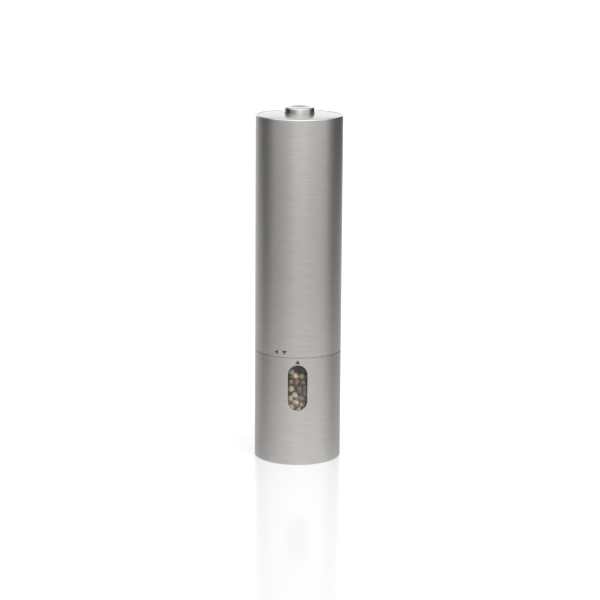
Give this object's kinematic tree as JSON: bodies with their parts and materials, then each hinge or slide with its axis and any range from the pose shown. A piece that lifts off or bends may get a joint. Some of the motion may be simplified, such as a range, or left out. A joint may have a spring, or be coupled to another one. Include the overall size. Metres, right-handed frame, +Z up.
{
  "type": "electric pepper mill",
  "caption": "Battery pepper mill with a brushed steel tube body, push button top, bayonet joint, window onto a clear jar and a ceramic burr grinder in its base.",
  "frame": {"origin": "centre of the base, on the surface it stands on", "axes": "+Z up along the tube towards the button, -Y through the window"},
  "size_m": [0.05, 0.05, 0.2044],
  "materials": {
    "brushed_steel": "brushed round the tube",
    "polished_steel": "polished",
    "clear_jar": "clear acrylic",
    "peppercorn": "mixed dried peppercorns",
    "black_plastic": "moulded",
    "white_plastic": "moulded acetal",
    "ceramic": "fired, unglazed",
    "plain_steel": "ground",
    "spring_steel": "drawn wire",
    "brass": "turned",
    "zinc_steel": "zinc plated",
    "nickel": "nickel plated",
    "magnet": "ferrite",
    "lamination": "stacked sheet",
    "cell_wrap": "plain wrapped cells",
    "lead_red": "insulated wire",
    "lead_black": "insulated wire"
  },
  "bodies": {
    "container": {"lower_sleeve": "brushed_steel", "pepper_jar": "clear_jar", "jar_collar": "black_plastic", "shaft_guide": "black_plastic", "peppercorns": "peppercorn", "grinder_base": "black_plastic", "burr_retainer": "black_plastic", "retainer_screws": "zinc_steel", "outer_burr": "ceramic"},
    "upper": {"drive_housing": "black_plastic", "output_bush": "brass", "ring_gear": "white_plastic", "motor_plate": "black_plastic", "plate_screws": "zinc_steel", "motor_screws": "zinc_steel", "motor_can": "zinc_steel", "motor_end_bell": "white_plastic", "motor_magnets": "magnet", "motor_terminals": "brass", "motor_cover": "black_plastic", "battery_holder": "black_plastic", "holder_screws": "zinc_steel", "batteries": "cell_wrap", "contact_strips": "nickel", "contact_springs": "nickel", "lead_red": "lead_red", "lead_black": "lead_black", "push_switch": "black_plastic", "button_guide": "black_plastic", "button_spring": "spring_steel", "top_plate": "polished_steel", "upper_sleeve": "brushed_steel"},
    "button": {"push_button": "polished_steel", "button_stem": "white_plastic"},
    "rotor": {"motor_shaft": "plain_steel", "motor_pinion": "brass", "motor_armature": "lamination"},
    "first_stage": {"first_carrier": "white_plastic", "first_planet_pins": "plain_steel"},
    "drive": {"output_carrier": "plain_steel", "output_planet_pins": "plain_steel", "drive_shaft": "plain_steel", "spring_seat": "plain_steel", "retaining_ring": "spring_steel", "burr_spring": "spring_steel"},
    "burr": {"burr_carrier": "black_plastic", "inner_burr": "ceramic"},
    "knob": {"adjuster_knob": "black_plastic", "adjuster_nut": "brass"},
    "output_planet_1": {"output_planet_1": "white_plastic"},
    "output_planet_2": {"output_planet_2": "white_plastic"},
    "output_planet_3": {"output_planet_3": "white_plastic"},
    "first_planet_1": {"first_planet_1": "white_plastic"},
    "first_planet_2": {"first_planet_2": "white_plastic"},
    "first_planet_3": {"first_planet_3": "white_plastic"}
  },
  "joints": [
    {"name": "housing_twist", "type": "hinge", "parent": "container", "child": "upper", "pos_m": [0, 0, 0.0635], "axis": [0, 0, 1], "range_deg": [0, 18]},
    {"name": "button_press", "type": "slide", "parent": "upper", "child": "button", "axis": [0, 0, -1], "range_m": [0, 0.0025], "stiffness_N_per_m": 600, "springref_m": -0.0008, "deforming": ["button_spring"]},
    {"name": "motor_spin", "type": "hinge", "parent": "upper", "child": "rotor", "pos_m": [0, 0, 0.11], "axis": [0, 0, 1], "continuous": true},
    {"name": "first_stage_spin", "type": "hinge", "parent": "upper", "child": "first_stage", "pos_m": [0, 0, 0.087], "axis": [0, 0, 1], "continuous": true},
    {"name": "drive_spin", "type": "hinge", "parent": "upper", "child": "drive", "pos_m": [0, 0, 0.078], "axis": [0, 0, 1], "continuous": true},
    {"name": "burr_lift", "type": "slide", "parent": "drive", "child": "burr", "axis": [0, 0, 1], "range_m": [-0.0006, 0.0006], "deforming": ["burr_spring"]},
    {"name": "grind_adjust", "type": "hinge", "parent": "burr", "child": "knob", "pos_m": [0, 0, 0.0034], "axis": [0, 0, 1], "range_deg": [-271, 271]},
    {"name": "output_planet_1_spin", "type": "hinge", "parent": "drive", "child": "output_planet_1", "pos_m": [0.0105, 0, 0.0825], "axis": [0, 0, 1], "continuous": true},
    {"name": "output_planet_2_spin", "type": "hinge", "parent": "drive", "child": "output_planet_2", "pos_m": [-0.00525, 0.00909, 0.0825], "axis": [0, 0, 1], "continuous": true},
    {"name": "output_planet_3_spin", "type": "hinge", "parent": "drive", "child": "output_planet_3", "pos_m": [-0.00525, -0.00909, 0.0825], "axis": [0, 0, 1], "continuous": true},
    {"name": "first_planet_1_spin", "type": "hinge", "parent": "first_stage", "child": "first_planet_1", "pos_m": [0.0105, 0, 0.0911], "axis": [0, 0, 1], "continuous": true},
    {"name": "first_planet_2_spin", "type": "hinge", "parent": "first_stage", "child": "first_planet_2", "pos_m": [-0.00525, 0.00909, 0.0911], "axis": [0, 0, 1], "continuous": true},
    {"name": "first_planet_3_spin", "type": "hinge", "parent": "first_stage", "child": "first_planet_3", "pos_m": [-0.00525, -0.00909, 0.0911], "axis": [0, 0, 1], "continuous": true}
  ],
  "couplings": [
    {"joint": "first_stage_spin", "follows": "motor_spin", "ratio": 0.2},
    {"joint": "drive_spin", "follows": "motor_spin", "ratio": 0.04},
    {"joint": "grind_adjust", "follows": "burr_lift", "rad_per_m": 7854},
    {"joint": "output_planet_1_spin", "follows": "motor_spin", "ratio": -0.10667},
    {"joint": "output_planet_2_spin", "follows": "motor_spin", "ratio": -0.10667},
    {"joint": "output_planet_3_spin", "follows": "motor_spin", "ratio": -0.10667},
    {"joint": "first_planet_1_spin", "follows": "motor_spin", "ratio": -0.53333},
    {"joint": "first_planet_2_spin", "follows": "motor_spin", "ratio": -0.53333},
    {"joint": "first_planet_3_spin", "follows": "motor_spin", "ratio": -0.53333}
  ]
}
